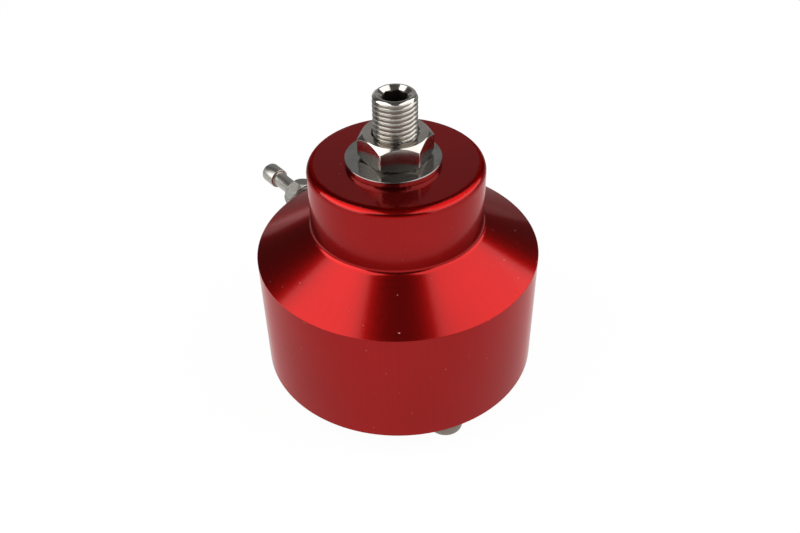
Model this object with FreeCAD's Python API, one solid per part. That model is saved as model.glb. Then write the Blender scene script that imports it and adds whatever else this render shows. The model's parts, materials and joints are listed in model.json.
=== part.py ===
# Adjustable fuel pressure regulator for mounting on a fuel rail, in millimetres.
# The origin is the centre of the face that bolts to the rail, and +Z runs up the body's axis
# towards the adjusting screw.
import FreeCAD, Part
import math
import os

INCH = 25.4

# Bonnet: one turned piece of bar, a skirt, a cone and a tower
SKIRT_R = 1.25 * INCH
SKIRT_HEIGHT = 29.0
SKIRT_FOOT_CHAMFER = 0.35
RIM_BREAK_R = 0.12
CONE_ANGLE = 30.0
TOWER_R = 19.15
TOWER_HEIGHT = 22.6
TOWER_EDGE_R = 1.9
COVE_R = 1.3
SPRING_LEDGE = 3.3
SPRING_BORE_FILLET = 2.0
LIP_THICKNESS = 1.5
ROLL_SPACE_HEIGHT = 4.8
ADJUSTER_THREAD_LENGTH = 9.0
SEAL_POCKET_R = 6.9
SEAL_POCKET_DEPTH = 1.4

# Base: a flange inside the skirt and a round boss that stands on the rail
BOSS_R = 0.75 * INCH
BOSS_HEIGHT = 6.4
BOSS_CHAMFER = 0.4
FLANGE_THICKNESS = 9.5
CHAMBER_DEPTH = 3.9
WELL_R = 8.0
WELL_DEPTH = 4.0
PORT_R = 3.0
INLET_OFFSET = 12.0
RAIL_BOLT_SPACING = 28.0
RAIL_BOLT_TAP_R = 2.55
RAIL_BOLT_TAP_DEPTH = 9.0

# Base screws: number 10 socket head cap screws
BASE_SCREW_COUNT = 4
BASE_SCREW_AZIMUTH = -67.0
BASE_SCREW_R = 0.19 * INCH / 2
BASE_SCREW_LENGTH = 15.9
BASE_SCREW_HEAD_R = 3.96
BASE_SCREW_HEAD_HEIGHT = 4.83
BASE_SCREW_HEAD_EDGE_R = 0.4
BASE_SCREW_SOCKET = 0.15625 * INCH
BASE_SCREW_SOCKET_DEPTH = 2.3
BASE_SCREW_EDGE = 0.45
BASE_SCREW_HOLE_CLEARANCE = 0.2
TAP_ALLOWANCE = 0.8

# Diaphragm and the plates that clamp its middle
ACTIVE_R = 17.6
DIAPHRAGM_THICKNESS = 0.8
DIAPHRAGM_MARGIN = 0.6
ROLL_WIDTH = 4.2
UPPER_PLATE_THICKNESS = 1.5
UPPER_PLATE_RIM_HEIGHT = 2.0
UPPER_PLATE_RIM_WALL = 0.55
LOWER_PLATE_THICKNESS = 1.2
PLATE_EDGE_R = 0.4

# Valve: a stem with a flat-bottomed ball in its foot, over a seat pressed into the base
STEM_R = 3.0
STEM_HEAD_R = 5.2
STEM_PROJECTION = 0.8
STEM_NUT_HEIGHT = 2.4
STEM_NUT_FLATS = 8.0
STEM_NUT_CHAMFER_ANGLE = 30.0
VALVE_BALL_R = 3.175
VALVE_FLAT_DEPTH = 2.2
RETAINER_WALL = 0.5
RETAINER_LIP_LOW = 1.45
RETAINER_OVERLAP = 1.6
SEAT_R = 4.5
SEAT_DEPTH = 4.4
SEAT_NOSE_R = 3.2
SEAT_NOSE_HEIGHT = 1.3
SEAT_LAND = 0.55
ORIFICE_R = 1.5
SEAT_GROOVE_WIDTH = 1.4
SEAT_GROOVE_DEPTH = 0.9

# Spring and the seat that carries its upper end
WIRE_R = 1.4
SPRING_TURNS = 4.75
SPRING_STEPS_PER_TURN = 16
CLOSED_TURN_RISE = 1.06
GROUND_SHARE = 0.35
SPRING_SEAT_THICKNESS = 3.0
SPRING_PILOT_HEIGHT = 2.8
PIVOT_BALL_R = 2.5
PIVOT_GAP = 2.4

# Adjusting screw, 3/8-24 set screw with a hexagon socket, and what locks it
ADJUSTER_R = 4.7
ADJUSTER_LENGTH = 1.125 * INCH
ADJUSTER_PROJECTION = 15.8
ADJUSTER_TOP_CHAMFER_DROP = 0.85
ADJUSTER_TOP_CHAMFER_RUN = 0.9
ADJUSTER_TOP_EDGE_R = 0.6
ADJUSTER_TIP_CHAMFER = 0.8
SOCKET_FLATS = 0.1875 * INCH
SOCKET_DEPTH = 5.0
SOCKET_AZIMUTH = 13.5
SOCKET_MOUTH_R = 3.6
SOCKET_MOUTH_DROP = 0.65
NUT_FLATS = 0.556 * INCH
NUT_HEIGHT = 5.65
NUT_AZIMUTH = 6.2
NUT_CHAMFER_ANGLE = 47.0
NUT_FACE_R = 6.9
NUT_MOUTH = 0.4
WASHER_R = 0.40625 * INCH
WASHER_BORE_R = 0.2125 * INCH
WASHER_THICKNESS = 1.25
WASHER_EDGE_R = 0.15
WASHER_OFFSET_X = -0.56
WASHER_OFFSET_Y = -0.28

# Vacuum nipple: a pipe-thread fitting with a hexagon and a hose barb
NIPPLE_AZIMUTH = 128.5
NIPPLE_DROP = 7.42
NECK_R = 3.85
NECK_SHOWN = 6.1
NECK_ENGAGED = 7.4
NIPPLE_FLATS = 0.3125 * INCH
NIPPLE_HEX_LENGTH = 4.1
NIPPLE_HEX_FACE_R = 3.9
NIPPLE_HEX_TURN = 47.1
NIPPLE_HEX_CHAMFER_ANGLE = 50.0
HOSE_STEM_R = 1.885
HOSE_STEM_LENGTH = 8.45
HOSE_STEM_ROOT_R = 0.4
BARB_R = 2.535
BARB_LENGTH = 4.95
BARB_TIP_R = 1.75
BARB_TAPER_LENGTH = 1.5
NIPPLE_BORE_R = 1.0
PORT_CHAMFER = 0.4

# Rubber rings, drawn as squeezed in their grooves
RING_WIDTH = 1.78
RING_SQUEEZED_HEIGHT = 1.4
RING_CORNER_R = 0.5

# Clearances
THREAD_CLEARANCE = 0.05
SLIP_CLEARANCE = 0.03
FLANGE_CLEARANCE = 0.05
ROLL_CLEARANCE = 0.1
BORE_CLEARANCE = 0.35
SPRING_CLEARANCE = 0.2
BALL_CLEARANCE = 0.05

# Heights that follow from the stack of pieces, from the rail's face upwards
FLANGE_TOP = BOSS_HEIGHT + FLANGE_THICKNESS
CHAMBER_FLOOR = FLANGE_TOP - CHAMBER_DEPTH
WELL_FLOOR = CHAMBER_FLOOR - WELL_DEPTH
RIM_Z = BOSS_HEIGHT + SKIRT_HEIGHT
CONE_TOP = RIM_Z + (SKIRT_R - TOWER_R) * math.tan(math.radians(CONE_ANGLE))
TOWER_TOP = RIM_Z + TOWER_HEIGHT
SPRING_CEILING = TOWER_TOP - ADJUSTER_THREAD_LENGTH
CLAMP_Z = FLANGE_TOP + DIAPHRAGM_THICKNESS
UPPER_PLATE_TOP = CLAMP_Z + UPPER_PLATE_THICKNESS
LOWER_PLATE_FOOT = FLANGE_TOP - LOWER_PLATE_THICKNESS
STEM_TOP = UPPER_PLATE_TOP + STEM_NUT_HEIGHT + STEM_PROJECTION
SEAT_FOOT = WELL_FLOOR - SEAT_DEPTH
SEAT_TOP = WELL_FLOOR + SEAT_NOSE_HEIGHT
VALVE_BALL_Z = SEAT_TOP + VALVE_FLAT_DEPTH
RETAINER_FOOT = VALVE_BALL_Z - RETAINER_LIP_LOW
ADJUSTER_TOP = TOWER_TOP + ADJUSTER_PROJECTION
ADJUSTER_FOOT = ADJUSTER_TOP - ADJUSTER_LENGTH
PIVOT_Z = ADJUSTER_FOOT - PIVOT_GAP / 2
SPRING_SEAT_TOP = ADJUSTER_FOOT - PIVOT_GAP
SPRING_SEAT_FOOT = SPRING_SEAT_TOP - SPRING_SEAT_THICKNESS
WASHER_TOP = TOWER_TOP + WASHER_THICKNESS
NIPPLE_Z = RIM_Z - NIPPLE_DROP

# Radii that follow from the pieces they fit
RECESS_R = SKIRT_R - LIP_THICKNESS
SPRING_BORE_R = ACTIVE_R - SPRING_LEDGE
FLANGE_R = RECESS_R - FLANGE_CLEARANCE
BASE_SCREW_CIRCLE_R = FLANGE_R - BASE_SCREW_EDGE - BASE_SCREW_HEAD_R
DIAPHRAGM_R = BASE_SCREW_CIRCLE_R - BASE_SCREW_R - DIAPHRAGM_MARGIN
ROLL_R = ACTIVE_R - ROLL_CLEARANCE - ROLL_WIDTH / 2
PLATE_R = ACTIVE_R - 2 * ROLL_CLEARANCE - ROLL_WIDTH
WIRE_CIRCLE_R = PLATE_R - UPPER_PLATE_RIM_WALL - BORE_CLEARANCE - WIRE_R
SPRING_INNER_R = WIRE_CIRCLE_R - WIRE_R
SEAL_INNER_R = ADJUSTER_R + ROLL_CLEARANCE
RING_INNER_R = PORT_R + BALL_CLEARANCE
RING_OUTER_R = RING_INNER_R + RING_WIDTH
RING_GROOVE_R = RING_OUTER_R + BALL_CLEARANCE
ORIGIN = FreeCAD.Vector(0, 0, 0)
UP = FreeCAD.Vector(0, 0, 1)


# Shared forms
def outline(corners):
    """A flat face in the XZ plane from (x, z) or (x, z, radius) corners, each radius a tangent arc."""
    points = [FreeCAD.Vector(corner[0], 0, corner[1]) for corner in corners]
    ends = []
    for i, corner in enumerate(corners):
        here = points[i]
        radius = corner[2] if len(corner) > 2 else 0
        if not radius:
            ends.append((here, None, here))
            continue
        back = (points[i - 1] - here).normalize()
        ahead = (points[(i + 1) % len(points)] - here).normalize()
        half = back.getAngle(ahead) / 2
        reach = radius / math.tan(half)
        inward = (back + ahead).normalize()
        middle = here + inward * (radius / math.sin(half) - radius)
        ends.append((here + back * reach, middle, here + ahead * reach))
    edges = []
    for i, (start, middle, end) in enumerate(ends):
        before = ends[i - 1][2]
        if before.distanceToPoint(start) > 1e-6:
            edges.append(Part.makeLine(before, start))
        if middle:
            edges.append(Part.Arc(start, middle, end).toShape())
    return Part.Face(Part.Wire(edges))


def turned(corners):
    """A solid turned about the Z axis from its half section."""
    return outline(corners).revolve(ORIGIN, UP, 360)


def rod(radius, low, high, x=0, y=0):
    """A round rod or drill along Z."""
    return Part.makeCylinder(radius, high - low, FreeCAD.Vector(x, y, low), UP)


def hexagon(flats, low, high, azimuth=0):
    """A six-sided prism along Z with a corner at the azimuth."""
    corner_r = flats / math.sqrt(3)
    angles = [math.radians(azimuth + 60 * i) for i in range(7)]
    ring = [FreeCAD.Vector(corner_r * math.cos(a), corner_r * math.sin(a), low) for a in angles]
    return Part.Face(Part.makePolygon(ring)).extrude(UP * (high - low))


def chamfered_hexagon(flats, low, high, azimuth, face_r, angle):
    """A hexagon with its corners turned off at both ends down to face_r."""
    corner_r = flats / math.sqrt(3)
    drop = (corner_r - face_r) * math.tan(math.radians(angle))
    envelope = turned([(0, low), (face_r, low), (corner_r, low + drop),
                       (corner_r, high - drop), (face_r, high), (0, high)])
    return hexagon(flats, low, high, azimuth).common(envelope)


def around(shape, count, start):
    """Copies of a shape set evenly about the Z axis."""
    return [shape.rotated(ORIGIN, UP, start + 360 * i / count) for i in range(count)]


def squeezed_ring(inner_r, outer_r, low, high, corner_r):
    """A rubber ring as its groove squeezes it."""
    return turned([(inner_r, low, corner_r), (outer_r, low, corner_r),
                   (outer_r, high, corner_r), (inner_r, high, corner_r)])


def along_nipple(shape):
    """Turns a shape made along +Z so that it lies along the nipple's axis, out from the body."""
    laid = shape.rotated(ORIGIN, FreeCAD.Vector(0, 1, 0), 90)
    return laid.rotated(ORIGIN, UP, NIPPLE_AZIMUTH).translated(UP * NIPPLE_Z)


# Housing
def bonnet():
    """The red cover: skirt, cone and tower, bored for the spring and tapped for the adjuster."""
    roll_space_top = CLAMP_Z + ROLL_SPACE_HEIGHT
    bore_r = ADJUSTER_R + THREAD_CLEARANCE
    body = turned([
        (ACTIVE_R, CLAMP_Z, PLATE_EDGE_R),
        (ACTIVE_R, roll_space_top, SPRING_BORE_FILLET),
        (SPRING_BORE_R, roll_space_top, PLATE_EDGE_R),
        (SPRING_BORE_R, SPRING_CEILING, SPRING_BORE_FILLET),
        (bore_r, SPRING_CEILING),
        (bore_r, TOWER_TOP - SEAL_POCKET_DEPTH),
        (SEAL_POCKET_R, TOWER_TOP - SEAL_POCKET_DEPTH),
        (SEAL_POCKET_R, TOWER_TOP),
        (TOWER_R, TOWER_TOP, TOWER_EDGE_R),
        (TOWER_R, CONE_TOP, COVE_R),
        (SKIRT_R, RIM_Z, RIM_BREAK_R),
        (SKIRT_R, BOSS_HEIGHT + SKIRT_FOOT_CHAMFER),
        (SKIRT_R - SKIRT_FOOT_CHAMFER, BOSS_HEIGHT),
        (RECESS_R, BOSS_HEIGHT),
        (RECESS_R, FLANGE_TOP),
        (DIAPHRAGM_R + SLIP_CLEARANCE, FLANGE_TOP),
        (DIAPHRAGM_R + SLIP_CLEARANCE, CLAMP_Z),
    ])
    tap_top = BOSS_HEIGHT + BASE_SCREW_LENGTH + TAP_ALLOWANCE
    tap = rod(BASE_SCREW_R + THREAD_CLEARANCE, FLANGE_TOP, tap_top, BASE_SCREW_CIRCLE_R)
    port_r = NECK_R + THREAD_CLEARANCE
    wall = SKIRT_R + PORT_CHAMFER
    port_floor = SKIRT_R - NECK_ENGAGED - TAP_ALLOWANCE
    port = turned([(0, 0), (NIPPLE_BORE_R, 0), (NIPPLE_BORE_R, port_floor), (port_r, port_floor),
                   (port_r, SKIRT_R - PORT_CHAMFER), (port_r + 2 * PORT_CHAMFER, wall), (0, wall)])
    return body.cut(around(tap, BASE_SCREW_COUNT, BASE_SCREW_AZIMUTH) + [along_nipple(port)])


def base_body():
    """The base: a flange held up in the skirt, the fuel chamber, and the boss with its two ports."""
    body = turned([
        (RING_GROOVE_R, 0),
        (BOSS_R - BOSS_CHAMFER, 0),
        (BOSS_R, BOSS_CHAMFER),
        (BOSS_R, BOSS_HEIGHT, 2 * BOSS_CHAMFER),
        (FLANGE_R, BOSS_HEIGHT),
        (FLANGE_R, FLANGE_TOP),
        (ACTIVE_R, FLANGE_TOP, PLATE_EDGE_R),
        (ACTIVE_R, CHAMBER_FLOOR, 2 * PLATE_EDGE_R),
        (WELL_R, CHAMBER_FLOOR),
        (WELL_R, WELL_FLOOR, PLATE_EDGE_R),
        (SEAT_R + SLIP_CLEARANCE, WELL_FLOOR),
        (SEAT_R + SLIP_CLEARANCE, SEAT_FOOT),
        (PORT_R, SEAT_FOOT),
        (PORT_R, RING_SQUEEZED_HEIGHT),
        (RING_GROOVE_R, RING_SQUEEZED_HEIGHT),
    ])
    hole = rod(BASE_SCREW_R + BASE_SCREW_HOLE_CLEARANCE, BOSS_HEIGHT, FLANGE_TOP, BASE_SCREW_CIRCLE_R)
    inlet = rod(PORT_R, 0, CHAMBER_FLOOR + PLATE_EDGE_R, -INLET_OFFSET)
    groove = rod(RING_GROOVE_R, 0, RING_SQUEEZED_HEIGHT, -INLET_OFFSET)
    rail_bolts = [rod(RAIL_BOLT_TAP_R, 0, RAIL_BOLT_TAP_DEPTH, 0, side * RAIL_BOLT_SPACING / 2)
                  for side in (-1, 1)]
    return body.cut(around(hole, BASE_SCREW_COUNT, BASE_SCREW_AZIMUTH) + [inlet, groove] + rail_bolts)


def base_screws():
    """The cap screws that clamp the base and the diaphragm's rim up into the bonnet."""
    head_foot = BOSS_HEIGHT - BASE_SCREW_HEAD_HEIGHT
    tip = BOSS_HEIGHT + BASE_SCREW_LENGTH
    tip_chamfer = BASE_SCREW_HEAD_EDGE_R
    screw = turned([(0, head_foot), (BASE_SCREW_HEAD_R, head_foot, BASE_SCREW_HEAD_EDGE_R),
                    (BASE_SCREW_HEAD_R, BOSS_HEIGHT), (BASE_SCREW_R, BOSS_HEIGHT),
                    (BASE_SCREW_R, tip - tip_chamfer), (BASE_SCREW_R - tip_chamfer, tip), (0, tip)])
    socket = hexagon(BASE_SCREW_SOCKET, head_foot, head_foot + BASE_SCREW_SOCKET_DEPTH)
    placed = screw.cut(socket).translated(FreeCAD.Vector(BASE_SCREW_CIRCLE_R, 0, 0))
    return Part.makeCompound(around(placed, BASE_SCREW_COUNT, BASE_SCREW_AZIMUTH))


# Diaphragm stack
def diaphragm():
    """The rubber-coated fabric disc, clamped at its rim, with a rolled fold that lets it lift."""
    outer = ROLL_WIDTH / 2
    inner = outer - DIAPHRAGM_THICKNESS
    low = FLANGE_TOP
    high = CLAMP_Z

    def at(x, z):
        return FreeCAD.Vector(x, 0, z)

    def half_circle(radius):
        return Part.Arc(at(ROLL_R - radius, high), at(ROLL_R, high + radius),
                        at(ROLL_R + radius, high)).toShape()

    hole_r = STEM_R + SLIP_CLEARANCE
    edges = [
        Part.makeLine(at(hole_r, high), at(ROLL_R - outer, high)),
        half_circle(outer),
        Part.makeLine(at(ROLL_R + outer, high), at(DIAPHRAGM_R, high)),
        Part.makeLine(at(DIAPHRAGM_R, high), at(DIAPHRAGM_R, low)),
        Part.makeLine(at(DIAPHRAGM_R, low), at(ROLL_R + inner, low)),
        Part.makeLine(at(ROLL_R + inner, low), at(ROLL_R + inner, high)),
        half_circle(inner),
        Part.makeLine(at(ROLL_R - inner, high), at(ROLL_R - inner, low)),
        Part.makeLine(at(ROLL_R - inner, low), at(hole_r, low)),
        Part.makeLine(at(hole_r, low), at(hole_r, high)),
    ]
    return Part.Face(Part.Wire(edges)).revolve(ORIGIN, UP, 360)


def upper_plate():
    """The pressed cup on top of the diaphragm, whose rim centres the spring."""
    rim_top = UPPER_PLATE_TOP + UPPER_PLATE_RIM_HEIGHT
    rim_r = PLATE_R - UPPER_PLATE_RIM_WALL
    hole_r = STEM_R + SLIP_CLEARANCE
    return turned([(hole_r, CLAMP_Z), (PLATE_R, CLAMP_Z, PLATE_EDGE_R), (PLATE_R, rim_top),
                   (rim_r, rim_top), (rim_r, UPPER_PLATE_TOP), (hole_r, UPPER_PLATE_TOP)])


def lower_plate():
    """The flat backing plate under the diaphragm, in the fuel."""
    hole_r = STEM_R + SLIP_CLEARANCE
    return turned([(hole_r, LOWER_PLATE_FOOT), (PLATE_R, LOWER_PLATE_FOOT, PLATE_EDGE_R),
                   (PLATE_R, FLANGE_TOP, PLATE_EDGE_R), (hole_r, FLANGE_TOP)])


def valve_stem():
    """The stem through the diaphragm, with the ball's pocket in its foot."""
    head_foot = RETAINER_FOOT + RETAINER_WALL
    stem = turned([(0, head_foot), (STEM_HEAD_R, head_foot), (STEM_HEAD_R, LOWER_PLATE_FOOT),
                   (STEM_R, LOWER_PLATE_FOOT), (STEM_R, STEM_TOP - PLATE_EDGE_R),
                   (STEM_R - PLATE_EDGE_R, STEM_TOP), (0, STEM_TOP)])
    pocket_r = VALVE_BALL_R + SLIP_CLEARANCE
    centre = FreeCAD.Vector(0, 0, VALVE_BALL_Z)
    pocket = Part.makeSphere(pocket_r, centre).fuse(rod(pocket_r, head_foot, VALVE_BALL_Z))
    return stem.cut(pocket)


def stem_nut():
    """The thin nut that draws the plates and the diaphragm together."""
    top = UPPER_PLATE_TOP + STEM_NUT_HEIGHT
    blank = chamfered_hexagon(STEM_NUT_FLATS, UPPER_PLATE_TOP, top, 0, STEM_NUT_FLATS / 2,
                              STEM_NUT_CHAMFER_ANGLE)
    return blank.cut(rod(STEM_R + SLIP_CLEARANCE, UPPER_PLATE_TOP, top))


def valve_ball():
    """The steel ball with a ground flat that closes the seat, free to square itself up."""
    ball = Part.makeSphere(VALVE_BALL_R, FreeCAD.Vector(0, 0, VALVE_BALL_Z))
    return ball.common(rod(2 * VALVE_BALL_R, SEAT_TOP, VALVE_BALL_Z + VALVE_BALL_R))


def ball_retainer():
    """The pressed cap round the stem's foot that keeps the ball in its pocket."""
    inner = STEM_HEAD_R + SLIP_CLEARANCE
    outer = inner + RETAINER_WALL
    top = VALVE_BALL_Z + RETAINER_OVERLAP
    floor = RETAINER_FOOT + RETAINER_WALL
    ball_r_at_floor = math.sqrt(VALVE_BALL_R ** 2 - (VALVE_BALL_Z - floor) ** 2)
    hole_r = ball_r_at_floor + SLIP_CLEARANCE
    return turned([(hole_r, RETAINER_FOOT), (outer, RETAINER_FOOT, RETAINER_WALL), (outer, top),
                   (inner, top), (inner, floor), (hole_r, floor)])


def valve_seat():
    """The hardened insert with the return orifice and its lapped land."""
    groove_low = (SEAT_FOOT + WELL_FLOOR - SEAT_GROOVE_WIDTH) / 2
    groove_high = groove_low + SEAT_GROOVE_WIDTH
    groove_r = SEAT_R - SEAT_GROOVE_DEPTH
    land_r = ORIFICE_R + SEAT_LAND
    return turned([(ORIFICE_R, SEAT_FOOT), (SEAT_R, SEAT_FOOT), (SEAT_R, groove_low),
                   (groove_r, groove_low), (groove_r, groove_high), (SEAT_R, groove_high),
                   (SEAT_R, WELL_FLOOR), (SEAT_NOSE_R, WELL_FLOOR), (land_r, SEAT_TOP),
                   (ORIFICE_R, SEAT_TOP)])


def seat_o_ring():
    """The ring in the seat's groove."""
    middle = (SEAT_FOOT + WELL_FLOOR) / 2
    half = SEAT_GROOVE_WIDTH / 2 - SLIP_CLEARANCE
    return squeezed_ring(SEAT_R - SEAT_GROOVE_DEPTH + SLIP_CLEARANCE, SEAT_R,
                         middle - half, middle + half, SEAT_GROOVE_DEPTH / 3)


# Spring and adjuster
def main_spring():
    """One wire wound with closed end turns, both ends ground flat square to the axis."""
    foot = UPPER_PLATE_TOP
    top = SPRING_SEAT_FOOT
    buried = 2 * WIRE_R * GROUND_SHARE
    closed_rise = 2 * WIRE_R * CLOSED_TURN_RISE
    open_turns = SPRING_TURNS - 2
    open_rise = (top - foot - 2 * buried - 2 * closed_rise) / open_turns
    steps = round(SPRING_TURNS * SPRING_STEPS_PER_TURN)
    height = foot + buried
    path = []
    for i in range(steps + 1):
        turn = i * SPRING_TURNS / steps
        angle = 2 * math.pi * turn
        path.append(FreeCAD.Vector(WIRE_CIRCLE_R * math.cos(angle), WIRE_CIRCLE_R * math.sin(angle),
                                   height))
        closed = turn < 1 or turn >= SPRING_TURNS - 1
        height += (closed_rise if closed else open_rise) * SPRING_TURNS / steps
    curve = Part.BSplineCurve()
    curve.interpolate(path)
    spine = Part.Wire(curve.toShape())
    start = curve.value(curve.FirstParameter)
    heading = curve.tangent(curve.FirstParameter)[0]
    section = Part.Wire(Part.makeCircle(WIRE_R, start, heading))
    wire = spine.makePipeShell([section], True, True)
    reach = WIRE_CIRCLE_R + 2 * WIRE_R
    return wire.common(rod(reach, foot, top))


def spring_seat():
    """The turned button on top of the spring: a pilot below, the ball's socket above."""
    rim_r = SPRING_BORE_R - BORE_CLEARANCE
    pilot_r = SPRING_INNER_R - SPRING_CLEARANCE
    pilot_foot = SPRING_SEAT_FOOT - SPRING_PILOT_HEIGHT
    button = turned([(0, pilot_foot), (pilot_r, pilot_foot, 2 * PLATE_EDGE_R),
                     (pilot_r, SPRING_SEAT_FOOT), (rim_r, SPRING_SEAT_FOOT, PLATE_EDGE_R),
                     (rim_r, SPRING_SEAT_TOP, PLATE_EDGE_R), (0, SPRING_SEAT_TOP)])
    return button.cut(Part.makeSphere(PIVOT_BALL_R + SLIP_CLEARANCE, FreeCAD.Vector(0, 0, PIVOT_Z)))


def pivot_ball():
    """The ball between screw and spring seat, so that the screw turns without turning the spring."""
    return Part.makeSphere(PIVOT_BALL_R, FreeCAD.Vector(0, 0, PIVOT_Z))


def adjusting_screw():
    """The set screw that loads the spring, with its key socket at the top."""
    top_r = ADJUSTER_R - ADJUSTER_TOP_CHAMFER_RUN
    floor = ADJUSTER_TOP - SOCKET_DEPTH
    mouth_foot = ADJUSTER_TOP - SOCKET_MOUTH_DROP
    blank = turned([(0, ADJUSTER_FOOT), (ADJUSTER_R - ADJUSTER_TIP_CHAMFER, ADJUSTER_FOOT),
                    (ADJUSTER_R, ADJUSTER_FOOT + ADJUSTER_TIP_CHAMFER),
                    (ADJUSTER_R, ADJUSTER_TOP - ADJUSTER_TOP_CHAMFER_DROP, ADJUSTER_TOP_EDGE_R),
                    (top_r, ADJUSTER_TOP), (SOCKET_MOUTH_R, ADJUSTER_TOP),
                    (SOCKET_FLATS / 2, mouth_foot), (0, mouth_foot)])
    socket = hexagon(SOCKET_FLATS, floor, ADJUSTER_TOP, SOCKET_AZIMUTH)
    dimple = Part.makeSphere(PIVOT_BALL_R + BALL_CLEARANCE, FreeCAD.Vector(0, 0, PIVOT_Z))
    return blank.cut([socket, dimple])


def jam_nut():
    """The nut that locks the adjusting screw, chamfered on both faces."""
    top = WASHER_TOP + NUT_HEIGHT
    bore_r = ADJUSTER_R + THREAD_CLEARANCE
    mouth_r = bore_r + NUT_MOUTH
    blank = chamfered_hexagon(NUT_FLATS, WASHER_TOP, top, NUT_AZIMUTH, NUT_FACE_R, NUT_CHAMFER_ANGLE)
    bore = turned([(0, WASHER_TOP), (mouth_r, WASHER_TOP), (bore_r, WASHER_TOP + NUT_MOUTH),
                   (bore_r, top - NUT_MOUTH), (mouth_r, top), (0, top)])
    return blank.cut(bore)


def washer():
    """The flat washer under the jam nut, resting a little off centre in its clearance."""
    ring = turned([(WASHER_BORE_R, TOWER_TOP), (WASHER_R, TOWER_TOP),
                   (WASHER_R, WASHER_TOP, WASHER_EDGE_R), (WASHER_BORE_R, WASHER_TOP)])
    return ring.translated(FreeCAD.Vector(WASHER_OFFSET_X, WASHER_OFFSET_Y, 0))


def screw_seal():
    """The ring round the adjusting screw that keeps the vacuum side tight under the washer."""
    return squeezed_ring(SEAL_INNER_R, SEAL_POCKET_R - SLIP_CLEARANCE,
                         TOWER_TOP - SEAL_POCKET_DEPTH, TOWER_TOP - SLIP_CLEARANCE, RING_CORNER_R)


# Outside connections
def vacuum_nipple():
    """The hose nipple for the vacuum line: threaded neck, hexagon, stem and barb, one turned piece."""
    neck_foot = SKIRT_R - NECK_ENGAGED
    hex_foot = SKIRT_R + NECK_SHOWN
    hex_top = hex_foot + NIPPLE_HEX_LENGTH
    barb_foot = hex_top + HOSE_STEM_LENGTH
    tip = barb_foot + BARB_LENGTH
    shank = turned([
        (0, neck_foot), (NECK_R - PORT_CHAMFER, neck_foot), (NECK_R, neck_foot + PORT_CHAMFER),
        (NECK_R, hex_top - HOSE_STEM_ROOT_R), (HOSE_STEM_R, hex_top, HOSE_STEM_ROOT_R),
        (HOSE_STEM_R, barb_foot), (BARB_R, barb_foot),
        (BARB_R, tip - BARB_TAPER_LENGTH), (BARB_TIP_R, tip, BARB_TIP_R / 4), (0, tip)])
    hexagonal = chamfered_hexagon(NIPPLE_FLATS, hex_foot, hex_top - HOSE_STEM_ROOT_R, NIPPLE_HEX_TURN,
                                  NIPPLE_HEX_FACE_R, NIPPLE_HEX_CHAMFER_ANGLE)
    bore = rod(NIPPLE_BORE_R, neck_foot, tip)
    return along_nipple(shank.fuse(hexagonal).removeSplitter().cut(bore))


def port_ring(x):
    """A face seal ring in a port's groove on the rail face."""
    ring = squeezed_ring(RING_INNER_R, RING_OUTER_R, 0, RING_SQUEEZED_HEIGHT, RING_CORNER_R)
    return ring.translated(FreeCAD.Vector(x, 0, 0))


def inlet_o_ring():
    """The ring round the fuel inlet."""
    return port_ring(-INLET_OFFSET)


def return_o_ring():
    """The ring round the fuel return."""
    return port_ring(0)


PIECES = [bonnet, base_body, base_screws, diaphragm, upper_plate, lower_plate, valve_stem, stem_nut,
          valve_ball, ball_retainer, valve_seat, seat_o_ring, main_spring, spring_seat, pivot_ball,
          adjusting_screw, jam_nut, washer, screw_seal, vacuum_nipple, inlet_o_ring, return_o_ring]

os.makedirs("parts", exist_ok=True)
for make in PIECES:
    shape = make()
    print(make.__name__, len(shape.Solids), "solid", round(shape.Volume, 2), "mm3")
    shape.exportStep(os.path.join("parts", make.__name__ + ".step"))
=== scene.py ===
# %% [markdown]
# # A fuel pressure regulator, dressed for its picture
# The regulator's solids come packed in a fixed frame: every piece already lies where it belongs,
# in metres, with +Z up the body's axis. This file gives them light, a camera and finishes. It
# also makes the forms that are too fine for the solids, such as screw threads.
#
# We load the frame first. part_box reads the box of a solid where a piece we make must match it.

# %% Load the frame
import bpy
import bmesh
import json
import math
from mathutils import Matrix, Vector


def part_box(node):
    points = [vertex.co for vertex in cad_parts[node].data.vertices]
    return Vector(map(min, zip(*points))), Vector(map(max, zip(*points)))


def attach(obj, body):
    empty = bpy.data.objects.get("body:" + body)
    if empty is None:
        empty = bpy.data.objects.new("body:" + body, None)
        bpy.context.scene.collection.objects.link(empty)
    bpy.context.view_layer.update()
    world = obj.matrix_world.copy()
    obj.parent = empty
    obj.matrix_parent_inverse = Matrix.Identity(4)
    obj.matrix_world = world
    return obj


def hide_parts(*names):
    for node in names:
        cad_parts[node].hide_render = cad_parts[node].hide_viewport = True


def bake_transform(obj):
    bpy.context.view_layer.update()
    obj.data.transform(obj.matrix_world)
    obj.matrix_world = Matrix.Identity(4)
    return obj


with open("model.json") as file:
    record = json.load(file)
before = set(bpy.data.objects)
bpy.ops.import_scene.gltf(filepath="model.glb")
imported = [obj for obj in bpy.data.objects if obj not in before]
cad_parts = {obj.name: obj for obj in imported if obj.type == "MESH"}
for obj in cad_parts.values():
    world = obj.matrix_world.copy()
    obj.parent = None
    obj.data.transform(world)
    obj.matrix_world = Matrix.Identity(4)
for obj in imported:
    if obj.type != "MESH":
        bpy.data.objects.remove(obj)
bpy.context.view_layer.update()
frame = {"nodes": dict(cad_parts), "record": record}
nodes = frame["nodes"]
MM = 0.001
INCH = 25.4 * MM
print("pieces in the frame:", len(nodes))

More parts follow.
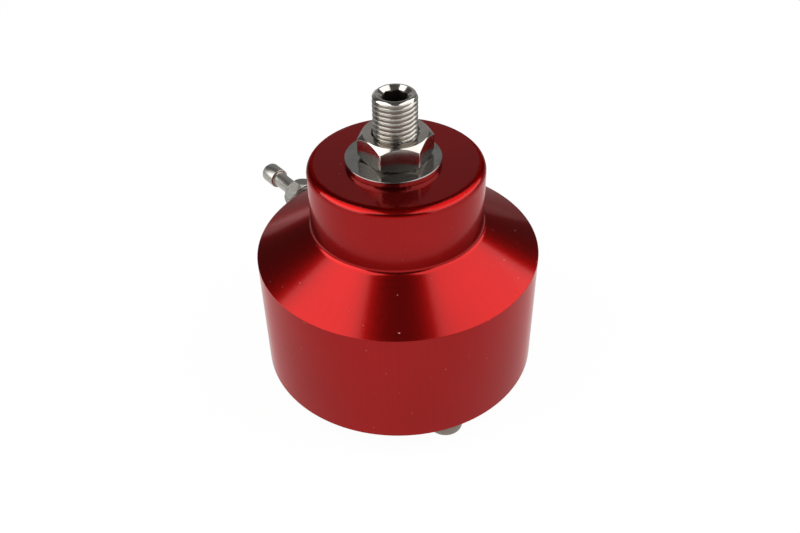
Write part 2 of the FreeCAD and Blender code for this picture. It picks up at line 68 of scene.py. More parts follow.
# %% [markdown]
# ## The camera
# A photograph keeps the place that it was taken from. Circles on the turned body show up as
# ellipses, and their flatness gives the height of the camera and their change from top to bottom
# gives its distance. Here the camera stood only 20 cm away, looking down at 38 degrees, so the
# body narrows strongly towards the floor. We build the camera's axes by hand: first it looks
# straight at the skirt's upper rim, then it is turned until that rim's centre falls on the
# pixel where the photograph has it.

# %% Camera
PHOTO_WIDTH = 800
PHOTO_HEIGHT = 533
FOCAL_PIXELS = 896.68
CAMERA_DISTANCE = 0.203893
CAMERA_ELEVATION = math.radians(37.7517)
CAMERA_ROLL = math.radians(-1.1486)
RIM_PIXEL = (397.756, 244.427)
RIM_HEIGHT = 0.0354
SENSOR_WIDTH = 36.0

forward = Vector((0, math.cos(CAMERA_ELEVATION), -math.sin(CAMERA_ELEVATION)))
upward = Vector((0, math.sin(CAMERA_ELEVATION), math.cos(CAMERA_ELEVATION)))
looking = Matrix(((1, 0, 0), -upward, forward))
yaw = math.atan((RIM_PIXEL[0] - PHOTO_WIDTH / 2) / FOCAL_PIXELS)
pitch = math.atan((RIM_PIXEL[1] - PHOTO_HEIGHT / 2) / FOCAL_PIXELS)
turn = (Matrix.Rotation(yaw, 3, "Y") @ Matrix.Rotation(-pitch, 3, "X")
        @ Matrix.Rotation(CAMERA_ROLL, 3, "Z"))
axes = turn @ looking
camera_data = bpy.data.cameras.new("camera")
camera_data.sensor_width = SENSOR_WIDTH
camera_data.lens = FOCAL_PIXELS / PHOTO_WIDTH * SENSOR_WIDTH
camera_data.clip_start = 0.01
camera = bpy.data.objects.new("camera", camera_data)
columns = Matrix((axes[0], -axes[1], -axes[2])).transposed()
standpoint = Vector((0, 0, RIM_HEIGHT)) - forward * CAMERA_DISTANCE
camera.matrix_world = Matrix.Translation(standpoint) @ columns.to_4x4()
bpy.context.scene.collection.objects.link(camera)
bpy.context.scene.camera = camera
print("lens", round(camera_data.lens, 2), "mm at", [round(x, 4) for x in camera.location])

# %% [markdown]
# ## Shader maths that reads like maths
# Node graphs get long when every sum is two clicks. A small class wraps one socket, so that
# `0.3 + wear * 0.2` in Python adds the Math nodes for us. Colours never go through Math nodes,
# which would turn them grey: they go through `blend`, which is a Mix node. The numbers at the top
# are places of outputs: the point on a Texture Coordinate node, and three of a Light Path node.

# %% A small language for shaders
OBJECT_POINT = 3
CAMERA_RAY, GLOSSY_RAY, TRANSMISSION_RAY = 0, 3, 6


class Value:
    """A number on its way through a material's nodes."""

    def __init__(self, material, socket):
        self.material = material
        self.socket = socket

    def math(self, operation, other=0.0):
        settings = {"operation": operation}
        return self.material.node("ShaderNodeMath", settings, {0: self, 1: other})[0]

    def __add__(self, other):
        return self.math("ADD", other)

    def __mul__(self, other):
        return self.math("MULTIPLY", other)

    def __sub__(self, other):
        return self.math("SUBTRACT", other)

    def __rsub__(self, other):
        return self * -1 + other

    __radd__ = __add__

    def smooth(self, low, high):
        """0 below low, 1 above high, and a soft step between them."""
        settings = {"interpolation_type": "SMOOTHSTEP"}
        return self.material.node("ShaderNodeMapRange", settings, {0: self, 1: low, 2: high})[0]


class Material:
    """A material whose surface is one Principled shader, ready to be told what varies."""

    def __init__(self, name, **constants):
        self.data = bpy.data.materials.new(name)
        self.data.use_nodes = True
        self.tree = self.data.node_tree
        self.surface = self.tree.nodes["Principled BSDF"]
        for key, value in constants.items():
            socket = key.replace("_", " ").title().replace("Ior", "IOR")
            self.surface.inputs[socket].default_value = value

    def node(self, kind, settings=None, inputs=None):
        """Adds a node: its settings, then its sockets, each a number or another node's Value."""
        made = self.tree.nodes.new(kind)
        for key, value in (settings or {}).items():
            setattr(made, key, value)
        for key, value in (inputs or {}).items():
            if isinstance(value, Value):
                self.tree.links.new(value.socket, made.inputs[key])
            else:
                made.inputs[key].default_value = value
        return [Value(self, socket) for socket in made.outputs]

    def blend(self, factor, a, b):
        """A colour between a and b. Sockets 6 and 7 of a Mix node take colours, and 2 gives one."""
        made = self.tree.nodes.new("ShaderNodeMix")
        made.data_type = "RGBA"
        for index, value in ((0, factor), (6, a), (7, b)):
            if isinstance(value, Value):
                self.tree.links.new(value.socket, made.inputs[index])
            else:
                made.inputs[index].default_value = value if index == 0 else (*value, 1.0)
        return Value(self, made.outputs[2])

    def place(self):
        """The point's own place in the part's frame, and its x, y and z."""
        point = self.node("ShaderNodeTexCoord")[OBJECT_POINT]
        split = self.node("ShaderNodeSeparateXYZ", None, {0: point})
        return point, split[0], split[1], split[2]

    def noise(self, point, scale, detail=2.0, dimensions="3D"):
        settings = {"noise_dimensions": dimensions}
        socket = "W" if dimensions == "1D" else "Vector"
        inputs = {socket: point, "Scale": scale, "Detail": detail}
        return self.node("ShaderNodeTexNoise", settings, inputs)[0]

    def feed(self, socket, value):
        self.tree.links.new(value.socket, self.surface.inputs[socket])

    def bump(self, height, depth):
        """Raises the surface by height times depth, in metres."""
        inputs = {"Strength": 1.0, "Distance": depth, "Height": height}
        self.feed("Normal", self.node("ShaderNodeBump", None, inputs)[0])


# %% [markdown]
# ## Red anodised aluminium
# Anodising grows a clear oxide layer on aluminium and fills its pores with dye. Light goes
# through the dye, bounces off bright metal and comes back red, so the lamps' reflections are red
# too. That is a metal with a red base colour. The oxide's own top face still mirrors a little
# white, most of all at a grazing angle, where the red turns to a greyish pink. A weak clear coat
# does that. The piece was turned in a lathe, and the tool leaves fine rings round the axis: we
# get them from a noise that depends only on the distance along the profile, z plus radius. A
# second noise depends only on the angle round the axis, and gives the faint streaks across them.
# A third is cut off so high that only a few specks of dust are left.
#
# One bump is broader. The tower's top edge is a quarter circle in the solids. The real edge turns
# more tightly in its middle, which makes its highlight narrow. A bump that rises towards the middle
# of the round, as the cosine of four times the angle across it, bends the normals that way. The
# coat keeps the solid's own normals, so we thin it where its highlight would stand beside the
# metal's. Where that starts and ends is an angle across the edge, in radians.

# %% Red anodised aluminium
ANODISED_RED = (0.33, 0.0035, 0.0030)
ANODISED_DARK = (0.26, 0.0020, 0.0018)
REFLECTION_TINT = (0.74, 0.20, 0.18, 1.0)
DUST = (0.62, 0.50, 0.46)
DUST_SCALE = 1500.0
DUST_CUT = (0.795, 0.815)
CLOUD_SCALE = 38.0
CHATTER_SCALE = 42.0
TURNING_SCALE = 5200.0
TURNING_DEPTH = 0.05e-6
COAT = 0.54
COAT_THINNED_BY = 0.44
THINNING_STARTS = (0.70, 0.90)
THINNING_ENDS = (1.30, 1.50)
EDGE_CENTRE_R = 17.25 * MM
EDGE_CENTRE_Z = 56.10 * MM
EDGE_RISE = 0.13 * MM


def anodised_red():
    red = Material("red_anodised", metallic=1.0, anisotropic=0.35, specular_tint=REFLECTION_TINT,
                   coat_roughness=0.12, coat_ior=1.35)
    point, x, y, z = red.place()
    radius = (x * x + y * y).math("SQRT")
    profile = z + radius
    rings = red.noise(profile, TURNING_SCALE, 3.0, "1D")
    chatter = red.noise(y.math("ARCTAN2", x), CHATTER_SCALE, 3.0, "1D")
    cloud = red.noise(point, CLOUD_SCALE, 4.0)
    speck = red.noise(point, DUST_SCALE, 1.0).smooth(*DUST_CUT)
    worn = cloud.smooth(0.3, 0.7) * 0.5 + chatter.smooth(0.3, 0.7) * 0.15
    colour = red.blend(worn, ANODISED_RED, ANODISED_DARK)
    red.feed("Base Color", red.blend(speck * 0.55, colour, DUST))
    red.feed("Roughness", 0.22 + rings * 0.04 + speck * 0.3)
    across = (z - EDGE_CENTRE_Z).math("ARCTAN2", radius - EDGE_CENTRE_R)
    across = across.math("MAXIMUM", 0.0).math("MINIMUM", math.pi / 2)
    tighter = 0.5 - (across * 4).math("COSINE") * 0.5
    inner_side = across.smooth(*THINNING_STARTS) * (1.0 - across.smooth(*THINNING_ENDS))
    red.feed("Coat Weight", COAT - inner_side * COAT_THINNED_BY)
    red.bump((rings + speck * 2) * TURNING_DEPTH + tighter * EDGE_RISE, depth=1.0)
    return red.data


# %% [markdown]
# ## Steels
# The screw, nut, washer and cap screws are steel in different states. All share one recipe: a
# nearly neutral metal, a fine grain in roughness and bump, and a slow cloud of handling marks in
# colour. The numbers make the difference: polished, machined, stamped or plated.

# %% Steels
GRAIN_SCALE = 2600.0
HANDLING_SCALE = 260.0
STEELS = {  # colour, darker colour, roughness, and depth of the grain in metres
    "bright_steel": ((0.44, 0.41, 0.375), (0.37, 0.345, 0.315), 0.08, 0.12e-6),
    "washer_steel": ((0.30, 0.29, 0.275), (0.24, 0.23, 0.215), 0.07, 0.15e-6),
    "cap_screw_steel": ((0.24, 0.20, 0.175), (0.17, 0.145, 0.125), 0.26, 1.0e-6),
    "plated_steel": ((0.55, 0.56, 0.54), (0.42, 0.43, 0.42), 0.25, 2.0e-6),
    "stainless": ((0.52, 0.52, 0.51), (0.42, 0.42, 0.41), 0.18, 1.5e-6),
    "spring_steel": ((0.20, 0.20, 0.21), (0.12, 0.12, 0.13), 0.30, 3.0e-6),
    "ball_steel": ((0.62, 0.62, 0.63), (0.55, 0.55, 0.56), 0.04, 0.3e-6),
}


def steel(name, colour, dark, roughness, grain_depth):
    metal = Material(name, metallic=1.0)
    point = metal.place()[0]
    grain = metal.noise(point, GRAIN_SCALE, 3.0)
    cloud = metal.noise(point, HANDLING_SCALE, 4.0)
    metal.feed("Base Color", metal.blend(cloud.smooth(0.35, 0.75), colour, dark))
    metal.feed("Roughness", roughness + grain * 0.10 + cloud * 0.08)
    metal.bump(grain, grain_depth)
    return metal.data


finishes = {name: steel(name, *values) for name, values in STEELS.items()}
finishes["red_anodised"] = anodised_red()
print("steels:", len(STEELS))

# %% [markdown]
# ## The screw's steel
# The screw's threads are rolled between dies, which leaves them duller than the machined top. Its
# key socket is deep, and below its mouth the colour is painted nearly black and made rougher: this
# is painted shade for the dark inside of the recess. Both are masks made from the point's own
# place: how high it is and how far from the axis.

# %% Screw steel
SCREW_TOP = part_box("adjusting_screw")[1][2]
MACHINED = ((0.52, 0.49, 0.45), (0.43, 0.40, 0.365))
ROLLED = ((0.46, 0.435, 0.40), (0.37, 0.345, 0.31))
# Painted shade: the nearly black colour of the socket's inside.
SOCKET_SHADE = (0.035, 0.030, 0.020)
SOCKET_MASK_R = 2.8 * MM
SOCKET_SHADE_STARTS = (0.60 * MM, 0.75 * MM)
ROLLING_STARTS = (0.8 * MM, 1.1 * MM)
SCREW_CLOUD_SCALE = 420.0


def screw_steel():
    metal = Material("screw_steel", metallic=1.0)
    point, x, y, z = metal.place()
    radius = (x * x + y * y).math("SQRT")
    depth = z * -1 + SCREW_TOP
    rolled = depth.smooth(*ROLLING_STARTS)
    # Painted shade: the socket below its mouth is painted nearly black and made rougher.
    painted_socket_shade = radius.math("LESS_THAN", SOCKET_MASK_R) * depth.smooth(*SOCKET_SHADE_STARTS)
    grain = metal.noise(point, GRAIN_SCALE, 3.0)
    cloud = metal.noise(point, SCREW_CLOUD_SCALE, 4.0)
    bright = metal.blend(cloud.smooth(0.35, 0.75), *MACHINED)
    dull = metal.blend(cloud.smooth(0.3, 0.7), *ROLLED)
    metal.feed("Base Color", metal.blend(painted_socket_shade * 0.92, metal.blend(rolled, bright, dull), SOCKET_SHADE))
    metal.feed("Roughness", 0.08 + grain * 0.08 + rolled * 0.10 + painted_socket_shade * 0.2)
    metal.bump(grain, 0.15e-6)
    return metal.data


finishes["screw_steel"] = screw_steel()

# %% [markdown]
# ## Nickel plate
# The vacuum nipple is turned from hexagon bar and then plated. Its turned parts are smooth and
# mirror the room in clear bands. The hexagon keeps the bar's drawn skin, which stays dull and
# grainy under the plating. The mask is the distance along the nipple, which points out of the
# housing at 128.5 degrees.

# %% Nickel plate
NIPPLE_AZIMUTH = math.radians(128.5)
HEX_FOOT = 37.85 * MM
HEX_TOP = 41.65 * MM
HEX_FADE = 0.2 * MM
TURNED_SKIN = ((0.40, 0.38, 0.35), (0.35, 0.33, 0.305))
DRAWN_SKIN = ((0.27, 0.26, 0.24), (0.20, 0.19, 0.175))
SKIN_SCALE = 1600.0
PLATE_CLOUD_SCALE = 300.0


def nickel_plate():
    metal = Material("nickel_plate", metallic=1.0)
    point, x, y, _ = metal.place()
    along = x * math.cos(NIPPLE_AZIMUTH) + y * math.sin(NIPPLE_AZIMUTH)
    past_foot = along.smooth(HEX_FOOT, HEX_FOOT + HEX_FADE)
    past_top = along.smooth(HEX_TOP - HEX_FADE, HEX_TOP)
    drawn = past_foot * (1.0 - past_top)
    grain = metal.noise(point, GRAIN_SCALE, 3.0)
    skin_grain = metal.noise(point, SKIN_SCALE, 2.0).smooth(0.35, 0.65)
    cloud = metal.noise(point, PLATE_CLOUD_SCALE, 3.0).smooth(0.35, 0.75)
    turned_colour = metal.blend(cloud, *TURNED_SKIN)
    drawn_colour = metal.blend(skin_grain, *DRAWN_SKIN)
    metal.feed("Base Color", metal.blend(drawn, turned_colour, drawn_colour))
    metal.feed("Roughness", 0.27 + grain * 0.04 + drawn * (0.09 + skin_grain * 0.1))
    metal.bump(grain * (0.05 + drawn), 0.3e-6)
    return metal.data


finishes["nickel_plate"] = nickel_plate()

# %% [markdown]
# ## Rubber
# Seals are not mirrors: black rubber scatters what little it returns, and its moulded skin has a
# fine bloom. A dark dielectric with a high roughness and a faint grain is enough. The diaphragm is
# fabric under the rubber, and two crossed waves give it a weave.

# %% Rubber
WEAVE_SCALE = 5200.0
MOULD_SCALE = 3200.0
BLOOM_SCALE = 180.0
BLOOM_LIGHTER = 1.8
RUBBER_DEPTH = 6.0e-6


def rubber(name, colour, weave=0.0):
    black = Material(name, metallic=0.0, ior=1.5)
    point, x, y, _ = black.place()
    grain = black.noise(point, MOULD_SCALE, 3.0)
    bloom = black.noise(point, BLOOM_SCALE, 3.0)
    threads = (x * WEAVE_SCALE).math("SINE") * (y * WEAVE_SCALE).math("SINE")
    lighter = tuple(c * BLOOM_LIGHTER for c in colour)
    black.feed("Base Color", black.blend(bloom.smooth(0.3, 0.8), colour, lighter))
    black.feed("Roughness", 0.55 + grain * 0.25)
    black.bump(grain * 0.5 + threads * weave, RUBBER_DEPTH)
    return black.data


finishes["seal_rubber"] = rubber("seal_rubber", (0.018, 0.018, 0.018))
finishes["coated_fabric"] = rubber("coated_fabric", (0.030, 0.028, 0.025), weave=1.0)
print("finishes made:", len(finishes))

# %% [markdown]
# ## Give each solid its finish
# The record names a material slot for every node. We read those names, so a node that is added
# later gets its finish without a new line here.

# %% Dress the solids
slot_of = {row["node"]: row["material_slot"] for row in frame["record"]["subparts"]}
for name, solid in nodes.items():
    solid.data.materials.clear()
    solid.data.materials.append(finishes[slot_of[name]])
print("finishes used:", sorted(set(slot_of.values())))

# %% [markdown]
# ## The main spring
# The main spring stands on the valve's upper plate and carries the spring seat. When the adjusting
# screw comes down, the seat follows and the spring gets shorter, which a rigid solid can't do. A
# copy of the solid's mesh, with its place baked in, takes the solid's place; its shape is left as
# it is.

# %% Main spring
spring = bpy.data.objects.new("main_spring_wound", nodes["main_spring"].data.copy())
bpy.context.scene.collection.objects.link(spring)
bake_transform(spring)
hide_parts("main_spring")

# %% [markdown]
# ## Broken edges
# No machined edge is truly sharp: it is broken with a file or by tumbling, and the narrow round
# catches the light as a thin bright line. The solids arrive with each face's points kept apart, so
# a Weld modifier first joins them. Then a Bevel modifier limited by angle finds the edges for us,
# and leaves the shallow facets of round faces alone.

# %% Break the edges
EDGE_BREAK = {"washer": 0.10 * MM, "base_screws": 0.12 * MM, "base_body": 0.12 * MM}
SHARPER_THAN = math.radians(35)
for name, width in EDGE_BREAK.items():
    weld = nodes[name].modifiers.new("weld", "WELD")
    weld.merge_threshold = 0.001 * MM
    bevel = nodes[name].modifiers.new("edge_break", "BEVEL")
    bevel.width = width
    bevel.segments = 2
    bevel.limit_method = "ANGLE"
    bevel.angle_limit = SHARPER_THAN
    bevel.harden_normals = True
print("edges broken on", len(EDGE_BREAK), "pieces")

# %% [markdown]
# ## Screw threads, row by row
# A thread is a profile that winds up a helix. If the mesh's rows follow that helix, each crest
# and each root is one clean row of edges, which no boolean cut gives. Row k starts at height
# k steps of the profile and climbs one pitch over a full turn, so where the turn closes, a row
# joins the one a whole pitch further on. At both ends the rows are clamped to the end height and
# the radius is held under the end chamfer, so the thread fades out as on a real screw.

# %% A threaded bar
TAU = 2 * math.pi
THREAD_PROFILE = (  # share of the pitch, and share of the thread's height
    (0.0, 1.0), (0.05, 1.0), (0.09, 0.93), (0.155, 0.7175), (0.22, 0.505), (0.285, 0.2925),
    (0.35, 0.08), (0.42, 0.0), (0.5, 0.0), (0.58, 0.0), (0.65, 0.08), (0.715, 0.2925),
    (0.78, 0.505), (0.845, 0.7175), (0.91, 0.93), (0.95, 1.0))
COLUMNS = 120
ANGLES = [TAU * i / COLUMNS for i in range(COLUMNS)]
WELD_DISTANCE = 2e-7
NO_LENGTH = 1e-8


def ring(radii, heights, angles=ANGLES):
    """One closed row of points. Radius and height are one number for all columns, or a list."""
    radii = radii if isinstance(radii, list) else [radii] * len(angles)
    heights = heights if isinstance(heights, list) else [heights] * len(angles)
    return [(r * math.cos(a), r * math.sin(a), z) for r, z, a in zip(radii, heights, angles)]


def skin(rows):
    """Quads between neighbouring closed rows."""
    faces = []
    for low, high in zip(rows, rows[1:]):
        for i in range(len(low)):
            j = (i + 1) % len(low)
            faces.append((low[i], low[j], high[j], high[i]))
    return faces


def thread(low, high, pitch, crest, root, envelope, fade=None, limit=min, start=None,
           angles=ANGLES):
    """The faces of a right-handed thread between two heights.

    The radius stays under the envelope, or over it where limit is max. A crest stands at height
    start, or at low where none is given, in the direction of angle 0.
    """
    steps = len(THREAD_PROFILE)
    turns = math.ceil((high - low) / pitch) + 2
    start = low if start is None else start
    closed = angles + [angles[0] + TAU]
    rows = []
    for k in range(turns * steps + 1):
        share, height = THREAD_PROFILE[k % steps]
        row = []
        for a in closed:
            z = start + pitch * (k // steps - 1 + share + a / TAU)
            z = min(max(z, low), high)
            depth = height * (fade(z) if fade else 1.0)
            r = limit(root + (crest - root) * depth, envelope(z))
            row.append((r * math.cos(a), r * math.sin(a), z))
        rows.append(row)
    return [(a[i], a[i + 1], b[i + 1], b[i])
            for a, b in zip(rows, rows[1:]) for i in range(len(angles))]


def build(name, faces, material, sharp=32.0, matrix=None):
    """Welds loose faces into one object with smooth curves and sharp edges."""
    mesh = bpy.data.meshes.new(name)
    made = bmesh.new()
    for face in faces:
        corners = [p for i, p in enumerate(face)
                   if (Vector(p) - Vector(face[i - 1])).length > NO_LENGTH]
        if len(corners) > 2:
            made.faces.new([made.verts.new(p) for p in corners])
    bmesh.ops.remove_doubles(made, verts=made.verts, dist=WELD_DISTANCE)
    bmesh.ops.dissolve_degenerate(made, dist=WELD_DISTANCE / 2, edges=made.edges)
    bmesh.ops.recalc_face_normals(made, faces=made.faces)
    open_edges = sum(1 for edge in made.edges if not edge.is_manifold)
    made.to_mesh(mesh)
    made.free()
    if matrix:
        mesh.transform(matrix)
    mesh.polygons.foreach_set("use_smooth", [True] * len(mesh.polygons))
    mesh.set_sharp_from_angle(angle=math.radians(sharp))
    mesh.materials.append(material)
    piece = bpy.data.objects.new(name, mesh)
    bpy.context.scene.collection.objects.link(piece)
    print(name, len(mesh.polygons), "faces,", open_edges, "open edges")
    return piece


# %% [markdown]
# ## The adjusting screw
# It is a 3/8-24 set screw: 24 threads to the inch, so one turn is 1.058 mm, with a 3/16 in hexagon
# socket. The top has a round shoulder, a quarter of an ellipse, and a countersink round the socket.
# Each column of the mesh meets the hexagon at its own radius, and the countersink's height there
# follows from the cone, so the curved scallops at the mouth come out exactly.

# %% Adjusting screw
SCREW_CREST = 4.70 * MM
SCREW_ROOT = 4.06 * MM
SCREW_PITCH = INCH / 24
SCREW_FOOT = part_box("adjusting_screw")[0][2]
RIM_R = 3.75 * MM
MOUTH_R = 3.60 * MM
SOCKET_HALF = 3 / 16 * INCH / 2
SOCKET_TURN = math.radians(13.5)
SHOULDER = 1.0 * MM
MOUTH_SLOPE = 0.85 * MM / (MOUTH_R - SOCKET_HALF)
SOCKET_FLOOR = SCREW_TOP - 5.0 * MM
DRILL_R = 0.9 * SOCKET_HALF
DRILL_POINT = SOCKET_FLOOR - 0.5 * MM
TIP_CHAMFER = 0.8 * MM
BALL_R = 2.55 * MM
BALL_Z = SCREW_FOOT - 1.2 * MM


def hexagon_radius(half_flats, angle):
    """How far a hexagon with a corner at angle 0 reaches in this direction."""
    return half_flats / math.cos((angle % (TAU / 6)) - TAU / 12)


def screw_envelope(z):
    above = max(0.0, 1.0 - (SCREW_TOP - z) / SHOULDER)
    top = RIM_R + (SCREW_CREST - RIM_R) * math.sqrt(1.0 - above ** 2)
    return min(top, SCREW_CREST - TIP_CHAMFER + (z - SCREW_FOOT))


def adjusting_screw():
    hexagon = [hexagon_radius(SOCKET_HALF, a) for a in ANGLES]
    scallop = [SCREW_TOP - (MOUTH_R - r) * MOUTH_SLOPE for r in hexagon]
    top = [ring(RIM_R, SCREW_TOP), ring(MOUTH_R, SCREW_TOP), ring(hexagon, scallop),
           ring(hexagon, SOCKET_FLOOR), ring(DRILL_R, SOCKET_FLOOR),
           ring(0.0, DRILL_POINT)]
    foot = [ring(SCREW_CREST - TIP_CHAMFER, SCREW_FOOT)]
    for share in (1.0, 0.8, 0.6, 0.4, 0.2, 0.0):
        r = share * math.sqrt(BALL_R ** 2 - (SCREW_FOOT - BALL_Z) ** 2)
        foot.append(ring(r, BALL_Z + math.sqrt(BALL_R ** 2 - r ** 2)))
    faces = thread(SCREW_FOOT, SCREW_TOP, SCREW_PITCH, SCREW_CREST, SCREW_ROOT, screw_envelope)
    faces += skin(top) + skin(foot)
    turn_to_socket = Matrix.Rotation(SOCKET_TURN, 4, "Z")
    return build("adjusting_screw_threaded", faces, finishes["screw_steel"], matrix=turn_to_socket)


screw = adjusting_screw()
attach(screw, "adjuster")
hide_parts("adjusting_screw")

# %% [markdown]
# ## The jam nut
# A nut starts as hexagon bar. Its chamfers are cones turned in a lathe, and where a cone meets the
# six flats it leaves curved scallops. The bar's corners are a little round, which gives the thin
# bright lines that make a nut look like a nut. So the columns here follow the outline of a rounded
# hexagon, with many of them at the corners. Three rows round off the edge between a chamfer and the
# flats: each is drawn in by a share of the edge's width, and its cone is moved out or in by
# another. The thread inside is the screw's own profile pushed out by a small clearance. It starts
# in step with the screw, so the two fit in every position.

# %% Jam nut
NUT_FOOT, NUT_TOP = (corner[2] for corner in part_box("jam_nut"))
NUT_HALF = 0.556 * INCH / 2
NUT_FACING = math.radians(36.2)
NUT_CORNER_R = 0.35 * MM
NUT_FACE_R = 6.90 * MM
NUT_TOP_SLOPE = math.tan(math.radians(47))
NUT_FOOT_SLOPE = math.tan(math.radians(38))
NUT_EDGE = 0.07 * MM
NUT_EDGE_ROWS = ((1.0, 1.0), (0.25, -0.1), (0.0, -1.0))
NUT_MOUTH_R = 5.15 * MM
THREAD_GAP = 0.05 * MM


def rounded_hexagon(half, corner, flat_steps=8, corner_steps=4):
    """Angles and radii of a hexagon's outline with round corners, anticlockwise."""
    points = []
    for side in range(6):
        facing = TAU / 6 * side
        reach = (half - corner) * math.tan(TAU / 12)
        for i in range(flat_steps):
            along = reach * (2 * i / flat_steps - 1)
            points.append(Matrix.Rotation(facing, 2) @ Vector((half, along)))
        centre = Matrix.Rotation(facing, 2) @ Vector((half - corner, reach))
        for i in range(corner_steps):
            bend = facing + TAU / 6 * i / corner_steps
            points.append(centre + corner * Vector((math.cos(bend), math.sin(bend))))
    angles = [math.atan2(p.y, p.x) % TAU for p in points]
    first = angles.index(min(angles))
    points = points[first:] + points[:first]
    return [math.atan2(p.y, p.x) % TAU for p in points], [p.length for p in points]


def nut_mouth(z):
    return NUT_MOUTH_R - min(z - NUT_FOOT, NUT_TOP - z)


def jam_nut():
    angles, reach = rounded_hexagon(NUT_HALF, NUT_CORNER_R)
    angles = [a + NUT_FACING for a in angles]

    def edge(level, slope, inward, out):
        radii = [max(r - inward * NUT_EDGE, NUT_FACE_R) for r in reach]
        heights = [level + slope * (r - NUT_FACE_R - out * NUT_EDGE) for r in reach]
        return ring(radii, heights, angles)

    rows = [ring(NUT_MOUTH_R, NUT_TOP, angles), ring(NUT_FACE_R, NUT_TOP, angles)]
    rows += [edge(NUT_TOP, -NUT_TOP_SLOPE, *shares) for shares in NUT_EDGE_ROWS]
    rows += [edge(NUT_FOOT, NUT_FOOT_SLOPE, *shares) for shares in reversed(NUT_EDGE_ROWS)]
    rows += [ring(NUT_FACE_R, NUT_FOOT, angles), ring(NUT_MOUTH_R, NUT_FOOT, angles)]
    pitches = math.floor((NUT_FOOT - SCREW_FOOT) / SCREW_PITCH) - 1
    start = SCREW_FOOT + SCREW_PITCH * (pitches - SOCKET_TURN / TAU)
    bore = thread(NUT_FOOT, NUT_TOP, SCREW_PITCH, SCREW_CREST + THREAD_GAP,
                  SCREW_ROOT + THREAD_GAP, nut_mouth, limit=max, start=start, angles=angles)
    return build("jam_nut_threaded", skin(rows) + bore, finishes["bright_steel"])


nut = jam_nut()
nut.modifiers.new("flat_faces", "WEIGHTED_NORMAL").keep_sharp = True
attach(nut, "lock")
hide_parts("jam_nut")

# %% [markdown]
# ## The vacuum nipple
# A hose slides over the barb at the outer end, and a tapered pipe thread holds the other end in
# the housing. We build it along +Z as closed rows from the neck to the tip, and lay it down only
# at the end, with one matrix. The hexagon uses the trick of the socket: each column knows how far
# the hexagon reaches in its own direction, and the chamfer's cone gives the height there.

# %% Vacuum nipple
NIPPLE_HEIGHT = 27.98 * MM
NECK_FOOT = 24.35 * MM
NECK_R = 3.85 * MM
NECK_ROOT = 3.20 * MM
NECK_END_R = NECK_ROOT - 0.05 * MM
PIPE_PITCH = INCH / 27
RUN_OUT = 0.7 * MM
RELIEF = 0.28 * MM
HEX_HALF = 5 / 16 * INCH / 2
HEX_FACE_R = 3.90 * MM
HEX_SLOPE = math.tan(math.radians(50))
HEX_TURN = math.radians(47.1)
HOSE_BORE_R = 1.0 * MM
TURNED_PROFILE = (  # radius and distance from the housing's axis, in mm
    (3.85, 41.65), (2.45, 41.90), (2.20, 41.98), (2.00, 42.12), (1.91, 42.28), (1.885, 42.45),
    (1.885, 49.92), (1.95, 49.98), (2.40, 50.02), (2.50, 50.08), (2.535, 50.20), (2.535, 54.10),
    (2.52, 54.25), (2.47, 54.40), (2.36, 54.56), (2.22, 54.72), (2.04, 54.94), (1.85, 55.12),
    (1.62, 55.26), (1.40, 55.33), (1.15, 55.35), (1.0, 55.22))


def neck_envelope(z):
    return min(NECK_R, NECK_END_R + (z - NECK_FOOT))


def neck_fade(z):
    """The thread's height fades out over the run-out and ends a little before the hexagon."""
    return min(1.0, max(0.0, (HEX_FOOT - RELIEF - z) / RUN_OUT))


def vacuum_nipple():
    reach = [hexagon_radius(HEX_HALF, a) for a in ANGLES]
    foot = [HEX_FOOT + (r - HEX_FACE_R) * HEX_SLOPE for r in reach]
    top = [HEX_TOP - (r - HEX_FACE_R) * HEX_SLOPE for r in reach]
    rows = [ring(NECK_ROOT, HEX_FOOT), ring(HEX_FACE_R, HEX_FOOT), ring(reach, foot),
            ring(reach, top), ring(HEX_FACE_R, HEX_TOP)]
    rows += [ring(r * MM, z * MM) for r, z in TURNED_PROFILE]
    rows += [ring(HOSE_BORE_R, NECK_FOOT), ring(NECK_END_R, NECK_FOOT)]
    neck = thread(NECK_FOOT, HEX_FOOT, PIPE_PITCH, NECK_R, NECK_ROOT, neck_envelope, neck_fade)
    faces = skin(rows) + neck
    lay_down = (Matrix.Translation((0, 0, NIPPLE_HEIGHT)) @ Matrix.Rotation(NIPPLE_AZIMUTH, 4, "Z")
                @ Matrix.Rotation(TAU / 4, 4, "Y") @ Matrix.Rotation(HEX_TURN, 4, "Z"))
    return build("vacuum_nipple_threaded", faces, finishes["nickel_plate"], sharp=24.0,
                 matrix=lay_down)


nipple = vacuum_nipple()
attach(nipple, "housing")
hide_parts("vacuum_nipple")

# %% [markdown]
# ## The set
# Product photographs of metal are pictures of what the metal reflects. The turned body is a good
# instrument: each of its points mirrors one known direction, so we can read off where the photo's
# studio was bright. On both sides stood tall white panels, from the floor to 72 degrees up, open
# in front and with a gap behind. The gap makes the dark bar down the middle of the cone. Over it
# all is a dim grey room, and a weak card hangs at the back.
#
# The metal also mirrors the floor. In the photo the floor is bright in front of the part and dim
# behind it, so for mirrored rays our floor glows in front and fades from 5 to 17 cm behind the
# axis, while the camera sees it white everywhere. Its own shading still shows through a little,
# which keeps a real contact shadow. Beside that, the glow that the metal mirrors is dimmed to 0.88
# within 3.4 cm of the axis and back to full at 6 cm: a painted contact shadow round the foot.

# %% Floor and room
FLOOR_HALF = 1.5
GLOW_NEAR = 0.05
GLOW_FAR = 0.17
FAR_FLOOR = 0.28
# Painted contact shadow: near the foot the mirrored glow drops to this share.
PAINTED_CONTACT_SHADE = 0.88
PAINTED_SHADE_FROM, PAINTED_SHADE_TO = 0.034, 0.060
GLOW_SHARE = 0.96
ROOM_GREY = 0.10


def emission(tree, grey):
    made = tree.nodes.new("ShaderNodeEmission")
    made.inputs["Color"].default_value = (grey, grey, grey, 1)
    return made.outputs[0]


